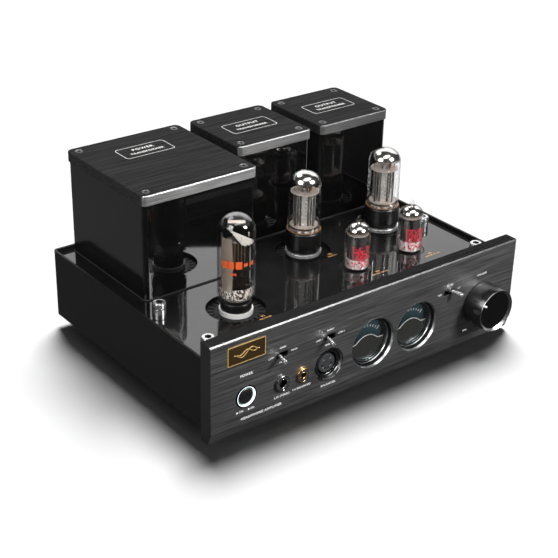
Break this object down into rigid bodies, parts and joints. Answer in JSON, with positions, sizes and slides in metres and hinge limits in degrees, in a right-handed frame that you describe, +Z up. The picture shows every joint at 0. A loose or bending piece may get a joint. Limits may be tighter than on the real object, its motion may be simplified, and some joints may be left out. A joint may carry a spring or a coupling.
{
  "type": "headphone amplifier",
  "caption": "Valve headphone amplifier with a thick front panel, level meters, a large volume knob, exposed valves on a gloss deck and covered transformers behind.",
  "frame": {"origin": "centre of the footprint, on the surface that the feet stand on", "axes": "+X to the right as seen from the front, front panel facing -Y, +Z up"},
  "size_m": [0.312, 0.262, 0.158],
  "materials": {
    "chassis_black": "satin black powder coat",
    "deck_black": "mirror gloss black",
    "cover_black": "gloss black",
    "panel_grey": "brushed dark-grey anodising",
    "cap_grey": "brushed grey anodising",
    "plate_brown": "brown enamel with a gold edge",
    "foot_rubber": "matte",
    "screw_black": "black oxide",
    "core_steel": "varnished laminations",
    "coil_tape": "varnished insulating tape",
    "vent_black": "satin black",
    "ceramic": "glazed white ceramic",
    "bright_metal": "polished nickel",
    "valve_glass": "clear",
    "valve_base": "moulded black",
    "electrode_metal": "carbonised nickel",
    "button_black": "polished",
    "switch_plastic": "moulded",
    "jack_gold": "gold plated",
    "jack_nickel": "nickel plated",
    "xlr_shell_metal": "black chrome",
    "xlr_insert_grey": "moulded",
    "meter_black": "moulded",
    "dial_brown": "dark dial",
    "lens_glass": "smoked, polished",
    "needle_red": "matte",
    "pot_metal": "satin",
    "knob_metal": "turned dark-grey anodising",
    "board_green": "solder mask",
    "capacitor_can": "sleeved",
    "inlet_plastic": "moulded",
    "contact_brass": "plated"
  },
  "bodies": {
    "chassis": {"chassis_shell": "chassis_black", "chassis_frame": "chassis_black", "bottom_plate": "chassis_black", "deck_plate": "deck_black", "front_panel": "panel_grey", "nameplate": "plate_brown", "feet": "foot_rubber", "transformer_cover_left": "cover_black", "transformer_cover_middle": "cover_black", "transformer_cover_right": "cover_black", "cap_left": "cap_grey", "cap_middle": "cap_grey", "cap_right": "cap_grey", "cap_screws": "screw_black", "power_transformer_core": "core_steel", "power_transformer_coil": "coil_tape", "output_transformer_cores": "core_steel", "output_transformer_coils": "coil_tape", "vent_rings": "vent_black", "valve_sockets": "ceramic", "socket_trim_rings": "bright_metal", "cage_posts": "bright_metal", "power_button_ring": "bright_metal", "power_switch": "switch_plastic", "selector_switches": "switch_plastic", "phones_jack_large": "jack_nickel", "phones_jack_small": "jack_gold", "phones_xlr_shell": "xlr_shell_metal", "phones_xlr_insert": "xlr_insert_grey", "meter_housings": "meter_black", "meter_dials": "dial_brown", "meter_lenses": "lens_glass", "volume_potentiometer": "pot_metal", "circuit_board": "board_green", "filter_capacitors": "capacitor_can", "line_sockets": "contact_brass", "mains_inlet": "inlet_plastic", "inlet_blades": "contact_brass"},
    "volume_knob": {"volume_knob": "knob_metal", "volume_shaft": "pot_metal"},
    "power_button": {"power_button": "button_black"},
    "selector_1": {"selector_lever_1": "bright_metal"},
    "selector_2": {"selector_lever_2": "bright_metal"},
    "selector_3": {"selector_lever_3": "bright_metal"},
    "needle_1": {"meter_needle_1": "needle_red"},
    "needle_2": {"meter_needle_2": "needle_red"},
    "valve_1": {"valve_1_glass": "valve_glass", "valve_1_base": "valve_base", "valve_1_electrodes": "electrode_metal"},
    "valve_2": {"valve_2_glass": "valve_glass", "valve_2_base": "valve_base", "valve_2_electrodes": "electrode_metal"},
    "valve_3": {"valve_3_glass": "valve_glass", "valve_3_base": "valve_base", "valve_3_electrodes": "electrode_metal"},
    "valve_4": {"valve_4_glass": "valve_glass", "valve_4_electrodes": "electrode_metal"},
    "valve_5": {"valve_5_glass": "valve_glass", "valve_5_electrodes": "electrode_metal"},
    "fuse_drawer": {"fuse_drawer": "inlet_plastic"}
  },
  "joints": [
    {"name": "volume_turn", "type": "hinge", "parent": "chassis", "child": "volume_knob", "pos_m": [0.1175, -0.111, 0.0395], "axis": [0, 1, 0], "range_deg": [-90, 210]},
    {"name": "power_press", "type": "slide", "parent": "chassis", "child": "power_button", "axis": [0, 1, 0], "range_m": [0, 0.003], "stiffness_N_per_m": 400},
    {"name": "selector_throw_1", "type": "hinge", "parent": "chassis", "child": "selector_1", "pos_m": [-0.0908, -0.099, 0.06], "axis": [0, 0, 1], "range_deg": [0, 26]},
    {"name": "selector_throw_2", "type": "hinge", "parent": "chassis", "child": "selector_2", "pos_m": [-0.045, -0.099, 0.06], "axis": [0, 0, 1], "range_deg": [0, 26]},
    {"name": "selector_throw_3", "type": "hinge", "parent": "chassis", "child": "selector_3", "pos_m": [0.0805, -0.099, 0.06], "axis": [0, 0, 1], "range_deg": [-26, 0]},
    {"name": "needle_swing_1", "type": "hinge", "parent": "chassis", "child": "needle_1", "pos_m": [0, -0.101, 0.03], "axis": [0, 1, 0], "range_deg": [0, 90], "stiffness_Nm_per_rad": 0.0005},
    {"name": "needle_swing_2", "type": "hinge", "parent": "chassis", "child": "needle_2", "pos_m": [0.0466, -0.101, 0.03], "axis": [0, 1, 0], "range_deg": [0, 90], "stiffness_Nm_per_rad": 0.0005},
    {"name": "valve_pull_1", "type": "slide", "parent": "chassis", "child": "valve_1", "axis": [0, 0, 1], "range_m": [0, 0.02]},
    {"name": "valve_pull_2", "type": "slide", "parent": "chassis", "child": "valve_2", "axis": [0, 0, 1], "range_m": [0, 0.02]},
    {"name": "valve_pull_3", "type": "slide", "parent": "chassis", "child": "valve_3", "axis": [0, 0, 1], "range_m": [0, 0.02]},
    {"name": "valve_pull_4", "type": "slide", "parent": "chassis", "child": "valve_4", "axis": [0, 0, 1], "range_m": [0, 0.014]},
    {"name": "valve_pull_5", "type": "slide", "parent": "chassis", "child": "valve_5", "axis": [0, 0, 1], "range_m": [0, 0.014]},
    {"name": "fuse_drawer_slide", "type": "slide", "parent": "chassis", "child": "fuse_drawer", "axis": [0, 1, 0], "range_m": [0, 0.019]}
  ]
}
